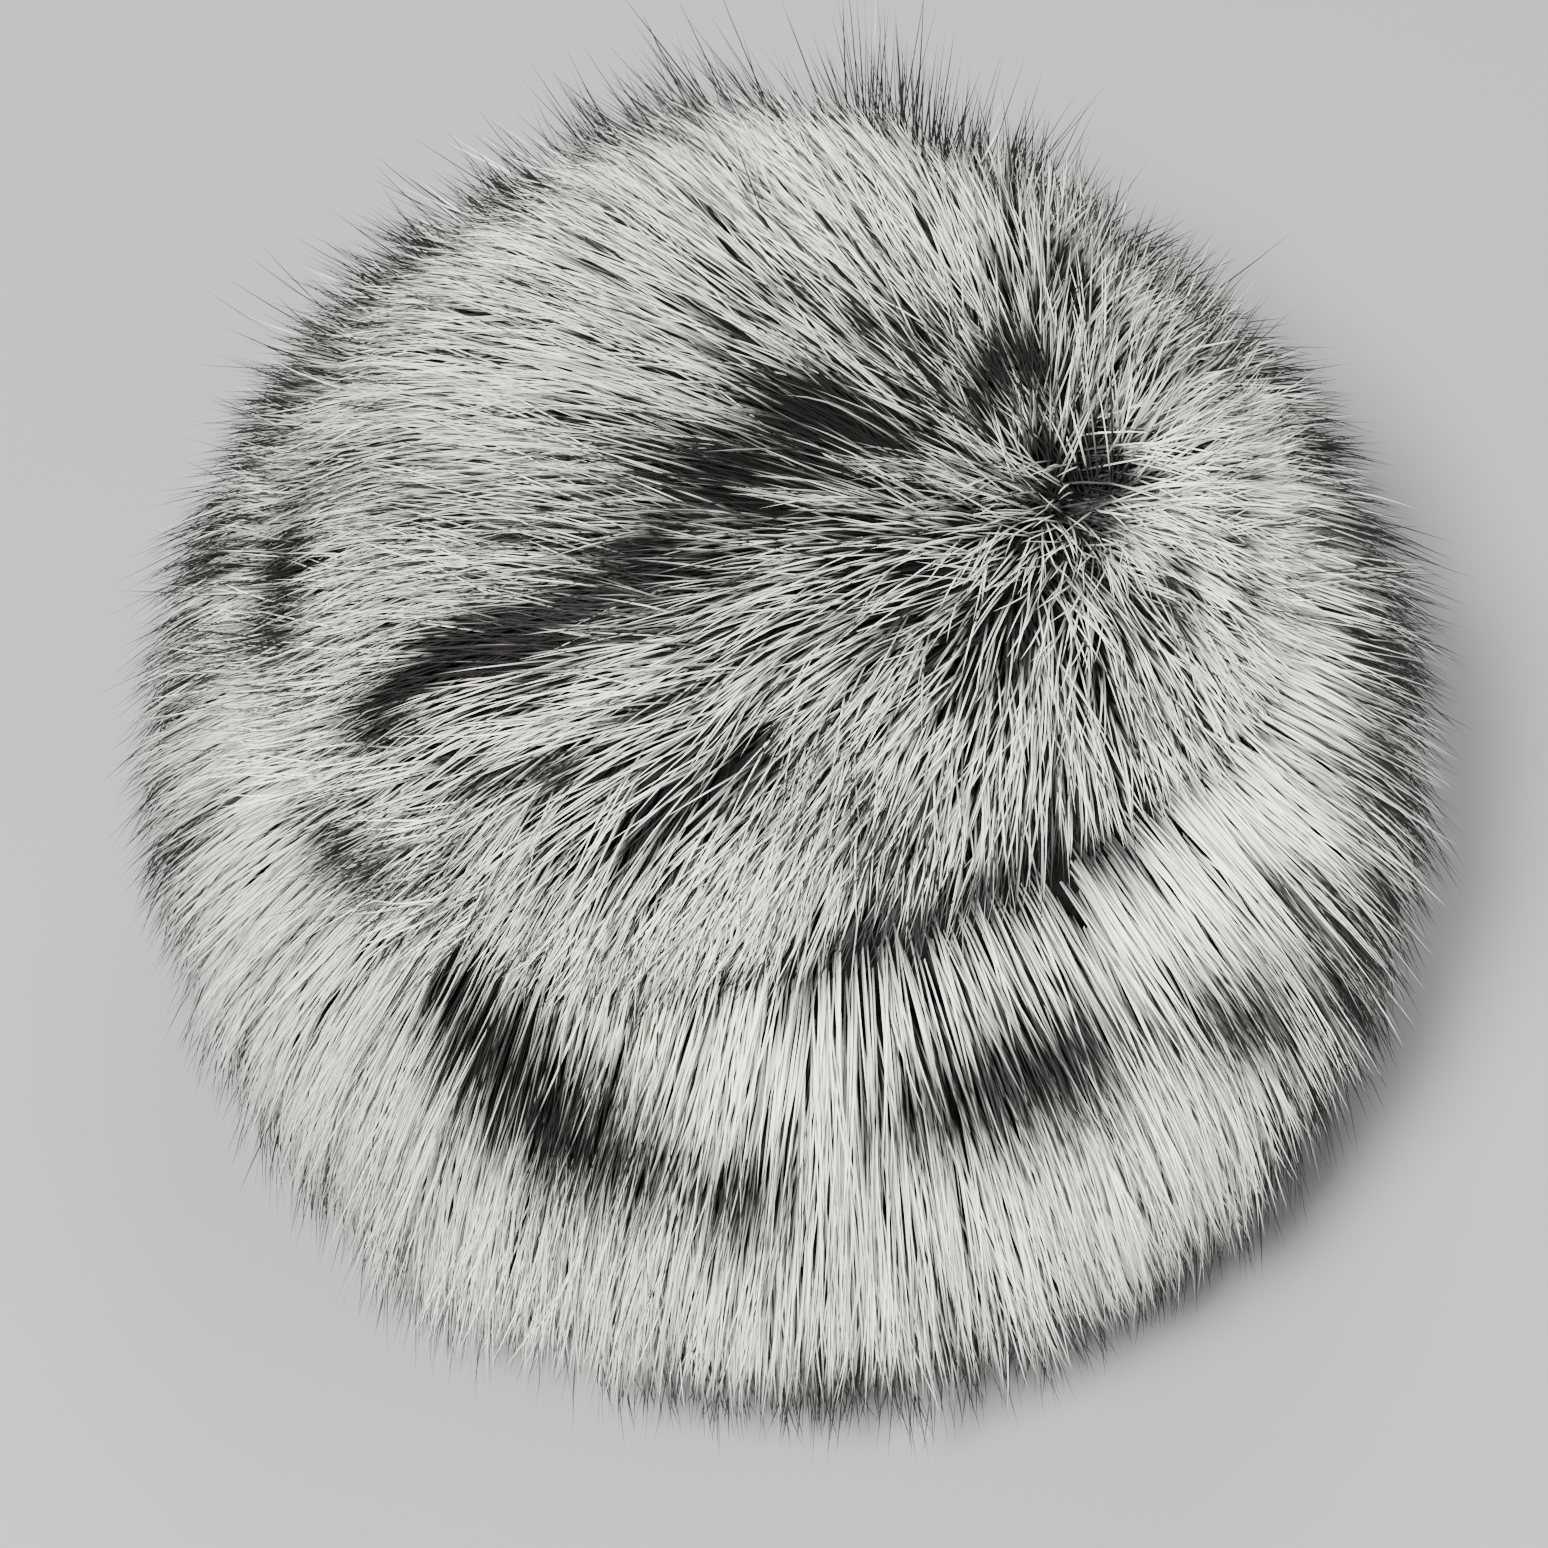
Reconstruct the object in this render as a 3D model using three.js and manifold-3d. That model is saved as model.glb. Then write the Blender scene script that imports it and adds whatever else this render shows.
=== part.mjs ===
import * as THREE from 'three';
import { mergeVertices } from 'three/addons/utils/BufferGeometryUtils.js';
import Module from 'manifold-3d';

// Round fur hat: a skin band and a skin crown, each under a coat of long hair.
// Millimetres, +Z up, the hat stands on its rim, the near side is at -Y.

const wasm = await Module();
wasm.setup();

// Skins
const HEAD_HALF_WIDTH = 90;
const HEAD_HALF_LENGTH = 97.5;
const SKIN = 2;
const BAND_HEIGHT = 122;
const BAND_TAPER = 4;
const SEAM = 0.4;
const RIM_RADIUS = HEAD_HALF_WIDTH + SKIN;
const SEAM_RADIUS = RIM_RADIUS - BAND_TAPER;
const SEAM_HEIGHT = BAND_HEIGHT + SEAM / 2;
const CROWN_BASE = BAND_HEIGHT + SEAM;
const CROWN_RISE = 31;
const OVAL = (HEAD_HALF_LENGTH + SKIN) / RIM_RADIUS;

// Outside of the crown skin above its base, from the top down: radius, height
const CROWN_SKIN = [
  [0, CROWN_RISE], [32, 30], [60, 25.5], [78, 17.5], [86, 8], [SEAM_RADIUS, 0],
];

// Outside of the underfur, from the top down: radius, height
const CROWN_UNDERFUR = [
  [0, 171], [26, 171.5], [48, 170], [68, 164.5], [83, 154], [92, 139], [96, 123], [95, 108], [0, 108],
];
const BAND_UNDERFUR = [
  [86, 126], [101, 121.5], [118, 111], [129, 91], [132, 65], [129, 38], [120, 15], [107, 1.5],
];

// How crown hair lies: over the crown, then out across the top of the band
const CROWN_LAY = [
  [0, 171], [26, 171.5], [48, 170], [68, 164.5], [84, 155], [94, 142], [101, 131], [112, 124], [152, 118],
];

// Room around the hair, and the surface on which crown hair lies over band hair: radius, height
const REACH = 185;
const HIGH = 300;
const DEEP = -60;
const OVERLAP = [
  [0, SEAM_HEIGHT], [SEAM_RADIUS + SEAM, SEAM_HEIGHT], [102, 120.5], [130, 117], [REACH, 110],
];
const GAP = 0.3;
const FLOOR_CLEARANCE = 0.5;

// Crown hair runs away from one whorl on the crown laid out flat
const WHORL = new THREE.Vector2(57, 2);
const CROWN_RINGS = {
  first: 9, step: 22, last: 180, spread: 31, fewest: 5, edge: 92,
  length: 34, grow: 0.16, stand: 8, standVary: 2, turnVary: 0.25,
};
const CROWN_HEM = {
  count: 30, root: 86, rootVary: 6, shortest: 20, stand: 4, backStand: 7, backFrom: -0.15,
  standVary: 2, turnVary: 0.2, mostSwing: 52,
};

// How far along its lay crown hair reaches over the band: bearing, distance
const CROWN_REACH = [
  [-180, 140], [-135, 132], [-90, 122], [-45, 118], [0, 119],
  [45, 134], [90, 152], [110, 158], [135, 154], [180, 140],
];

// Partings from the whorl: heading, how wide and how far they turn hair aside, where they begin and end
const PARTINGS = [
  { heading: 211, spread: 27, turn: 17, start: 40, end: 165 },
  { heading: 101, spread: 24, turn: 17, start: 8, end: 140 },
];
const PARTING_FADE = 30;

// Band hair hangs in rows, longer where the ends of the band meet
const BAND_ROWS = [
  { root: 10, length: 50, stand: 17 },
  { root: 40, length: 52, stand: 16 },
  { root: 70, length: 50, stand: 15 },
  { root: 100, length: 47, stand: 13 },
];
const BAND_LOCKS = { count: 27, wide: 1.15, standVary: 3, turnVary: 0.22, lean: 4 };
const JOIN = { bearing: 238, width: 9, longer: 0.25, stand: 7 };

// Sections of a lock: share of its length, half width and height,
// and its lift as a share of the lock's stand, or as a depth where below 0
const LOCK_SECTIONS = [
  { along: 0, half: 7.5, high: 2.5, lift: -5 },
  { along: 0.36, half: 10, high: 4, lift: 0.1 },
  { along: 0.76, half: 6.5, high: 2.8, lift: 0.62 },
];
const LOCK_UNDERSIDE = 0.6;
const LENGTH_VARY = 0.1;
const SEED = 7;

// Looks
const SUEDE = { color: 0x6f655b, roughness: 0.85, metalness: 0 };
const BAND_COAT = { color: 0xb4b3b0, roughness: 0.8, metalness: 0 };
const CROWN_COAT = { color: 0xa9a8a5, roughness: 0.8, metalness: 0 };

const SIDES = 40;
const WELD = 1e-4;
const TURN = Math.PI * 2;
const { clamp, degToRad, mapLinear, radToDeg, seededRandom, smoothstep } = THREE.MathUtils;

seededRandom(SEED);
const scatter = (amount) => amount * (2 * seededRandom() - 1);
const swing = (from, to) => Math.atan2(Math.sin(to - from), Math.cos(to - from));

function solid(geometry) {
  const bare = geometry.clone();
  bare.deleteAttribute('normal');
  bare.deleteAttribute('uv');
  const joined = mergeVertices(bare, WELD);
  const index = joined.getIndex().array;
  const faces = [];
  for (let i = 0; i < index.length; i += 3) {
    const [a, b, c] = index.slice(i, i + 3);
    if (a !== b && b !== c && c !== a) faces.push(a, b, c);
  }
  return new wasm.Manifold(new wasm.Mesh({
    numProp: 3,
    vertProperties: new Float32Array(joined.getAttribute('position').array),
    triVerts: new Uint32Array(faces),
  }));
}

// A solid turned from rows of radius and height, listed from the top down, and drawn out to the head's oval
function turned(rows) {
  const points = rows.map(([radius, height]) => new THREE.Vector2(radius, height)).reverse();
  const geometry = new THREE.LatheGeometry(points, SIDES);
  geometry.rotateX(Math.PI / 2);
  geometry.scale(1, OVAL, 1);
  return solid(geometry);
}

// A named mesh of the largest body, without the clippings that a cut leaves
function finish(name, manifold, look) {
  const [body] = manifold.decompose().sort((a, b) => b.volume() - a.volume());
  const mesh = body.getMesh();
  const geometry = new THREE.BufferGeometry();
  geometry.setAttribute('position', new THREE.BufferAttribute(new Float32Array(mesh.vertProperties), 3));
  geometry.setIndex(new THREE.BufferAttribute(new Uint32Array(mesh.triVerts), 1));
  geometry.computeVertexNormals();
  const part = new THREE.Mesh(geometry, new THREE.MeshStandardMaterial(look));
  part.name = name;
  return part;
}

// A meridian of the hat: the point and the outward normal at a distance along it
function meridian(rows) {
  const points = rows.map(([radius, height]) => new THREE.Vector3(radius, 0, height));
  const curve = new THREE.CatmullRomCurve3(points, false, 'centripetal');
  const span = curve.getLength();
  return (arc) => {
    const share = clamp(arc / span, 0, 1);
    const slope = curve.getTangentAt(share);
    const point = curve.getPointAt(share).addScaledVector(slope, arc - share * span);
    return { radius: point.x, height: point.z, out: -slope.z, up: slope.x };
  };
}

function place(line, arc, bearing, lift) {
  const spot = line(arc);
  const radius = spot.radius + spot.out * lift;
  return new THREE.Vector3(
    radius * Math.cos(bearing),
    radius * Math.sin(bearing) * OVAL,
    spot.height + spot.up * lift,
  );
}

// One lock of hair along a trace(along, lift): a flat tapered strand with a raised middle and a free tip
function lock(trace, stand, wide) {
  const positions = [];
  const nearby = 0.03;
  for (const row of LOCK_SECTIONS) {
    const lift = row.lift < 0 ? row.lift : row.lift * stand;
    const centre = trace(row.along, lift);
    const ahead = trace(row.along + nearby, lift).sub(trace(row.along - nearby, lift)).normalize();
    const up = trace(row.along, lift + 1).sub(centre);
    const side = new THREE.Vector3().crossVectors(ahead, up).normalize();
    up.crossVectors(side, ahead).normalize();
    const base = centre.clone().addScaledVector(up, -LOCK_UNDERSIDE * row.high);
    positions.push(...base.clone().addScaledVector(side, row.half * wide));
    positions.push(...centre.addScaledVector(up, row.high));
    positions.push(...base.addScaledVector(side, -row.half * wide));
  }
  positions.push(...trace(1, stand));

  const corners = 3;
  const last = LOCK_SECTIONS.length - 1;
  const faces = [0, 1, 2];
  for (let ring = 0; ring <= last; ring += 1) {
    for (let corner = 0; corner < corners; corner += 1) {
      const a = ring * corners + corner;
      const b = ring * corners + (corner + 1) % corners;
      if (ring === last) {
        faces.push(a, (last + 1) * corners, b);
      } else {
        faces.push(a, a + corners, b, b, a + corners, b + corners);
      }
    }
  }
  const geometry = new THREE.BufferGeometry();
  geometry.setAttribute('position', new THREE.BufferAttribute(new Float32Array(positions), 3));
  geometry.setIndex(faces);
  return solid(geometry);
}

// How far the partings turn hair aside at this distance from the whorl
function parted(heading, away) {
  let aside = 0;
  for (const { heading: middle, spread, turn, start, end } of PARTINGS) {
    const off = swing(degToRad(middle), heading);
    const begun = smoothstep(away, start, start + PARTING_FADE);
    const ended = smoothstep(away, end - PARTING_FADE, end);
    const near = Math.exp(-((off / degToRad(spread)) ** 2));
    aside += Math.sign(off) * degToRad(turn) * begun * (1 - ended) * near;
  }
  return aside;
}

// How long hair may be that starts here on the crown laid out flat, before it passes the hem
function roomAhead(start, heading) {
  const bearing = start.angle();
  const degrees = radToDeg(swing(0, bearing));
  const next = Math.max(1, CROWN_REACH.findIndex(([to]) => to >= degrees));
  const [[from, near], [to, far]] = CROWN_REACH.slice(next - 1, next + 1);
  const reach = mapLinear(degrees, from, to, near, far);
  const straight = Math.max(Math.cos(heading - bearing), Math.cos(degToRad(CROWN_HEM.mostSwing)));
  return Math.max((reach - start.length()) / straight, CROWN_HEM.shortest);
}

function crownLock(line, start, heading, long, stand) {
  const trace = (along, lift) => {
    const x = start.x + Math.cos(heading) * long * along;
    const y = start.y + Math.sin(heading) * long * along;
    return place(line, Math.hypot(x, y), Math.atan2(y, x), lift);
  };
  return lock(trace, stand, 1);
}

// Rings of locks round the whorl
function crownLocks(line) {
  const locks = [];
  const rings = CROWN_RINGS;
  for (let away = rings.first, ring = 0; away < rings.last; away += rings.step, ring += 1) {
    const count = Math.max(rings.fewest, Math.round(TURN * away / rings.spread));
    for (let n = 0; n < count; n += 1) {
      const heading = TURN * (n + (ring % 2) / 2 + scatter(rings.turnVary)) / count;
      const long = (rings.length + rings.grow * away) * (1 + scatter(LENGTH_VARY));
      const stand = rings.stand + scatter(rings.standVary);
      const start = new THREE.Vector2(away, 0).rotateAround(new THREE.Vector2(), heading).add(WHORL);
      if (start.length() > rings.edge) continue;
      const way = heading + parted(heading, away);
      locks.push(crownLock(line, start, way, Math.min(long, roomAhead(start, way)), stand));
    }
  }
  return locks;
}

// Locks at the crown's edge, which overhang the band and are longest at the back
function hemLocks(line) {
  const locks = [];
  const hem = CROWN_HEM;
  for (let n = 0; n < hem.count; n += 1) {
    const bearing = TURN * (n + scatter(hem.turnVary)) / hem.count;
    const start = new THREE.Vector2(Math.cos(bearing), Math.sin(bearing));
    const back = Math.max(0, start.y - hem.backFrom);
    start.multiplyScalar(hem.root + scatter(hem.rootVary));
    const run = start.clone().sub(WHORL);
    const most = degToRad(hem.mostSwing);
    const heading = bearing + clamp(swing(bearing, run.angle()), -most, most);
    const way = heading + parted(heading, run.length());
    const long = roomAhead(start, way) * (1 + scatter(LENGTH_VARY));
    const stand = hem.stand + hem.backStand * back + scatter(hem.standVary);
    locks.push(crownLock(line, start, way, long, stand));
  }
  return locks;
}

// Rows of locks that hang outward and down all round the band
function bandLocks(line) {
  const locks = [];
  const { count } = BAND_LOCKS;
  BAND_ROWS.forEach((row, r) => {
    for (let n = 0; n < count; n += 1) {
      const bearing = TURN * (n + (r % 2) / 2 + scatter(BAND_LOCKS.turnVary)) / count;
      const off = swing(degToRad(JOIN.bearing), bearing);
      const join = Math.max(0, 1 - Math.abs(off) / degToRad(JOIN.width));
      const long = row.length * (1 + scatter(LENGTH_VARY)) * (1 + JOIN.longer * join);
      const stand = row.stand + scatter(BAND_LOCKS.standVary) + JOIN.stand * join;
      const lean = degToRad(scatter(BAND_LOCKS.lean));
      const trace = (along, lift) => place(line, row.root + long * along, bearing + lean * along, lift);
      locks.push(lock(trace, stand, BAND_LOCKS.wide));
    }
  });
  return locks;
}

const fuse = (body, locks) => locks.reduce((sum, piece) => sum.add(piece), body);
const raised = (rows, by) => rows.map(([radius, height]) => [radius, height + by]);

// The crown skin's outside moved out by a distance, at its place above the band
const crownAt = (out) => CROWN_SKIN.map(([radius, height]) => [
  radius * (1 + out / SEAM_RADIUS),
  CROWN_BASE + height * (1 + out / CROWN_RISE),
]);

// Skins
const bandSkin = turned([[0, BAND_HEIGHT], [SEAM_RADIUS, BAND_HEIGHT], [RIM_RADIUS, 0], [0, 0]])
  .subtract(turned([[0, HIGH], [SEAM_RADIUS - SKIN, HIGH], [SEAM_RADIUS - SKIN, BAND_HEIGHT],
    [RIM_RADIUS - SKIN, 0], [RIM_RADIUS - SKIN, DEEP], [0, DEEP]]));
const crownSkin = turned([...crownAt(0), [0, CROWN_BASE]])
  .subtract(turned([...crownAt(-SKIN), [SEAM_RADIUS - SKIN, DEEP], [0, DEEP]]));

// Everything inside the hair's roots, and the room above, below and under the hair
const core = turned([...crownAt(GAP), [RIM_RADIUS + GAP, 0], [RIM_RADIUS + GAP, DEEP], [0, DEEP]]);
const aboveOverlap = turned([[0, HIGH], [REACH, HIGH], ...raised(OVERLAP, -GAP / 2).reverse()]);
const belowOverlap = turned([...raised(OVERLAP, GAP / 2), [REACH, DEEP], [0, DEEP]]);
const underFloor = turned([[0, FLOOR_CLEARANCE], [REACH, FLOOR_CLEARANCE], [REACH, DEEP], [0, DEEP]]);

// Hair
const crownLine = meridian(CROWN_LAY);
const crownHair = fuse(turned(CROWN_UNDERFUR), [...crownLocks(crownLine), ...hemLocks(crownLine)])
  .subtract(core)
  .subtract(belowOverlap);
const bandTop = [0, BAND_UNDERFUR.at(0)[1]];
const bandFoot = [0, BAND_UNDERFUR.at(-1)[1]];
const bandHair = fuse(turned([bandTop, ...BAND_UNDERFUR, bandFoot]), bandLocks(meridian(BAND_UNDERFUR)))
  .subtract(core)
  .subtract(aboveOverlap)
  .subtract(underFloor);

const hat = new THREE.Group();
hat.name = 'fur_hat';
hat.add(finish('band_hide', bandSkin, SUEDE));
hat.add(finish('crown_hide', crownSkin, SUEDE));
hat.add(finish('band_fur', bandHair, BAND_COAT));
hat.add(finish('crown_fur', crownHair, CROWN_COAT));

// Origin: the middle of the hat's box, on the surface it stands on
const box = new THREE.Box3().setFromObject(hat);
const centre = box.getCenter(new THREE.Vector3());
for (const part of hat.children) {
  part.geometry.translate(-centre.x, -centre.y, -box.min.z);
}

export default hat;
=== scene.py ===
import math

import bpy
import numpy as np
from bpy.props import FloatProperty, FloatVectorProperty, IntProperty, PointerProperty
from bpy.types import Operator, Panel, PropertyGroup
from mathutils import Matrix, Vector


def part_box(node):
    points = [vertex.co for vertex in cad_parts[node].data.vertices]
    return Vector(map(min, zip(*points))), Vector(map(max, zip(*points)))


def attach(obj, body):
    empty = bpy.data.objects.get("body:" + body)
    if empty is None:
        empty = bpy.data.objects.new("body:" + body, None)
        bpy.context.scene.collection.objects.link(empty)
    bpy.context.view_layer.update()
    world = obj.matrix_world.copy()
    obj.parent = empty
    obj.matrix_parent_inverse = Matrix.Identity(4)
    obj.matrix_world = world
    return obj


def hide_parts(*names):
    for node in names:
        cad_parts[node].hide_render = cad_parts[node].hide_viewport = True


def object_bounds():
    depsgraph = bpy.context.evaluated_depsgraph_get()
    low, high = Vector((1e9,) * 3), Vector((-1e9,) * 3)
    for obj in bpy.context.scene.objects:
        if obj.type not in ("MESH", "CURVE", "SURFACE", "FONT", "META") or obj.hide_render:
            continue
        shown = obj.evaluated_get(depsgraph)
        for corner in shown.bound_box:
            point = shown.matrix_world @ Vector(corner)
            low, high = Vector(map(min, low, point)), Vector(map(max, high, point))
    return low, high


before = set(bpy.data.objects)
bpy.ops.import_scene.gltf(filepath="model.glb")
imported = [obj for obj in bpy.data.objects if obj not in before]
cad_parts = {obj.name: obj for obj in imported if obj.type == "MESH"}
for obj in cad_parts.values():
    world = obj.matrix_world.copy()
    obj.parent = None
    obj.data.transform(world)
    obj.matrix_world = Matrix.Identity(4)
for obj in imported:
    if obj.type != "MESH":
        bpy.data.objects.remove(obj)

bl_info = {
    "name": "Long-haired fur hat",
    "version": (1, 0, 0),
    "blender": (4, 5, 0),
    "location": "View3D > Sidebar > Fur Hat",
    "description": "Grows underfur and long marked hair on the two skins of a round hat",
    "category": "Mesh",
}

MM = 0.001
TAU = 2 * math.pi
FULL_TURN = 360
GOLDEN_TURN = math.pi * (3 - math.sqrt(5))
SEEDS = {"crown_hair": 71, "band_hair": 72, "underfur": 73}

# The hat's box and its skins, in millimetres, read from the frame
CAD_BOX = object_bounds()
BOX_LOW, BOX_HIGH = (np.array(corner) / MM for corner in CAD_BOX)
MIDDLE = (BOX_LOW + BOX_HIGH) / 2
HALF_SIZE = (BOX_HIGH - BOX_LOW) / 2
BAND_LOW, BAND_HIGH = (np.array(corner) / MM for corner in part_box("band_hide"))
CROWN_LOW, CROWN_HIGH = (np.array(corner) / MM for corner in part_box("crown_hide"))
AXIS = (BAND_LOW + BAND_HIGH) / 2
RIM_RADIUS = (BAND_HIGH[0] - BAND_LOW[0]) / 2
SEAM_RADIUS = (CROWN_HIGH[0] - CROWN_LOW[0]) / 2
SEAM_HEIGHT = BAND_HIGH[2]
CROWN_RISE = CROWN_HIGH[2] - CROWN_LOW[2]
OVAL = (BAND_HIGH[1] - BAND_LOW[1]) / (BAND_HIGH[0] - BAND_LOW[0])

# How hair lies, as meridians from the top down: radius, height. The girth lays the band out flat.
CROWN_LAY = [
    (0, 171), (26, 171.5), (48, 170), (68, 164.5), (84, 155), (94, 142), (101, 131), (112, 124), (152, 118),
]
BAND_LAY = [
    (85, 148), (92, 136), (103, 124), (117, 111), (129, 92), (132, 65), (129, 38), (120, 15), (107, 1.5),
]
BAND_GIRTH = 125

# Outside of the crown skin above its base, from the top down: radius, height
CROWN_SKIN = [(0, CROWN_RISE), (32, 30), (60, 25.5), (78, 17.5), (86, 8), (SEAM_RADIUS, 0)]

# Underfur: its depth under the hair, its room to the skins, its ends and its lumps
UNDERFUR = {
    "depth": 6, "clear": 0.8, "wall": 2, "foot": 2, "crown_end": 124, "crown_lift": 1.5, "band_top": 126,
    "lumps": 0.006, "lump_size": 26, "girth": 60, "steps": 144, "rows": 24,
}

# The whorl that crown hair runs away from, on the crown laid out flat, and the tangled hair round it
WHORL = np.array((59.0, -6.0))
TANGLE = {"radius": 16, "tufts": 110, "scatter": 9, "turn": 95, "stand": 4, "reach": 75}

# Partings from the whorl: heading, where they start and end, how far hair turns aside, how wide
PARTINGS = [
    {"heading": 211, "start": 40, "end": 165, "turn": 17, "spread": 27},
    {"heading": 101, "start": 8, "end": 140, "turn": 17, "spread": 24},
]
PARTING_FADE = 30

# Where crown hair stands highest and longest, behind
PEAK = {"bearing": 78, "width": 21, "stand": 8, "length": 0.16}

# How far crown hair reaches past the seam: bearing, distance along the lay
CROWN_HEM = [
    (-180, 138), (-150, 138), (-127, 130), (-105, 115), (-85, 103), (-67, 91), (-41, 97), (-20, 112),
    (0, 124), (45, 136), (62, 140), (70, 158), (82, 168), (94, 160), (108, 148), (125, 142), (180, 136),
]

# Coats: where roots end and how they scatter, the spread of a tuft's hairs and the share of it left at
# their tips, strays, depth of roots, stand of tips, where hair turns pale, and how much all these differ.
# Crown hair that grows past its hem less its shortest length is hidden: it lies low and stays dark all along,
# as painted shade under the hem.
CROWN_COAT = {
    "edge": 108, "jitter": 1.3, "spread": 2.2, "gather": 0.5, "stray": 1.2, "sink": 8, "knee_lift": 0.25,
    "stand": 6, "back_stand": 5, "stand_vary": 2.2, "length_vary": 0.12, "turn_vary": 8,
    "wave": 7, "wave_size": 70, "waver": 7, "waver_size": 45, "hem_vary": 4, "shortest": 16,
    "hidden_width": 10, "hidden_drop": 7, "pale_from": 0.5, "fray": 8, "curl": 1.1, "least_straight": 0.35,
}
BAND_COAT = {
    "top": 0, "foot": 12, "crowd": 1.25, "jitter": 2, "spread": 3.2, "gather": 0.6, "stray": 1.3, "sink": 8.5,
    "knee_lift": 0.3, "pale_from": 0.22, "fray": 3, "curl": 0.8,
    "stand": 15, "foot_stand": 11, "stand_vary": 2.5, "length_vary": 0.08, "turn_vary": 4,
    "wave": 6, "wave_size": 90,
}

# Every hair: where it bends, the most of it that sinks in, its fades, and how much single hairs differ
KNEE = 0.45
SINK_SHARE = 0.38
LENGTH_VARY = 0.08
KNEE_VARY = 1.0
TIP_LIFT_VARY = 1.5
SHADE_VARY = 0.08
SHADE_LEAST = 0.05
TIP_VARY = 0.05
PALE_VARY = 0.06
ROOT_FADE = 0.24
TIP_FADE = 0.16
THICK_VARY = 0.12

# Smooth drift over a coat: waves in it, their shortest and longest shares of its size
DRIFT = {"waves": 6, "shortest": 0.7, "longest": 1.6}

# Where the band's ends meet, its hair is longer; at the notch behind, it is shorter and turns aside
BAND_JOIN = {"bearing": 238, "width": 5, "length": 0.2, "stand": 4, "turn": 0}
BAND_NOTCH = {"bearing": 75, "width": 9, "length": -0.15, "stand": -6, "turn": 9}

# Hair tips are kept off the floor: where they start to bend up, how much, and the least height
FLOOR_BEND = {"from": 9, "keep": 0.35, "least": 1.2}

# Kinds of hair: the pale coat, and longer guard hair with a black tip
HAIR_KINDS = [
    {"share": 0.85, "length": 1.0, "stand": 0, "thick": 1.0,
     "tip_dark": 0.4, "tip_start": 0.84, "shade": 0.97},
    {"share": 0.15, "length": 1.16, "stand": 3.5, "thick": 0.85,
     "tip_dark": 1.0, "tip_start": 0.56, "shade": 0.9},
]

# Strand: rings as shares of its length and of its width; the edge left free in its cell of the sheet
STRAND_RINGS = [(0.0, 0.7), (0.22, 1.0), (0.43, 1.0), (0.63, 0.85), (0.82, 0.55)]
STRAND_SIDES = 3
CELL_EDGE = 0.04

# Pieces that each coat is grown in: name, bearings of its start and end
CROWN_SECTORS = [("crown_hair_left", 150, 270), ("crown_hair_right", 270, 390), ("crown_hair_far", 30, 150)]
BAND_SECTORS = [
    ("band_hair_near", 225, 315), ("band_hair_right", 315, 405),
    ("band_hair_far", 45, 135), ("band_hair_left", 135, 225),
]

# Studio: lights in metres and watts, the sky round them, and the floor's half width
LIGHTS = [
    {"name": "key", "place": (-0.5, -0.75, 1.5), "size": 0.45, "power": 135},
    {"name": "fill", "place": (1.2, -0.5, 0.9), "size": 1.2, "power": 20},
    {"name": "back", "place": (0.2, 1.2, 1.3), "size": 1.0, "power": 34},
]
SKY = {"colour": (0.92, 0.95, 1.0, 1), "strength": 0.32}
FLOOR_REACH = 3.0
FLOOR_ROUGHNESS = 0.8

# Finishes: noise scales per metre, bump in metres, and the shares that mix each coat's two tones
HAIR_FINISH = {"roughness": 0.54, "specular": 0.14}
WOOL = {
    "scale": 420.0, "detail": 4.0, "noise_roughness": 0.7, "low": 0.35, "high": 0.75,
    "patch_scale": 40.0, "patch_detail": 2.0, "patch_base": 0.4, "patch_share": 0.6,
    "pale": 2, "bump": 0.6, "bump_depth": 0.002, "roughness": 0.95, "specular": 0.05,
}
SUEDE = {
    "scale": 900.0, "detail": 5.0, "noise_roughness": 0.75, "nap_share": 0.45,
    "patch_scale": 22.0, "patch_detail": 3.0, "low": 0.3, "high": 0.7, "patch_share": 0.5,
    "worn": 0.62, "bump": 0.35, "bump_depth": 0.0006, "roughness": 0.96, "nap_gloss": 0.12,
}
# Sockets of the colour mix node, whose names repeat: its two colours and its result
MIX_FIRST, MIX_SECOND, MIX_RESULT = 6, 7, 2

# Photograph frame
PHOTO_SIZE = 1548
SENSOR = 36.0
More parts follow.
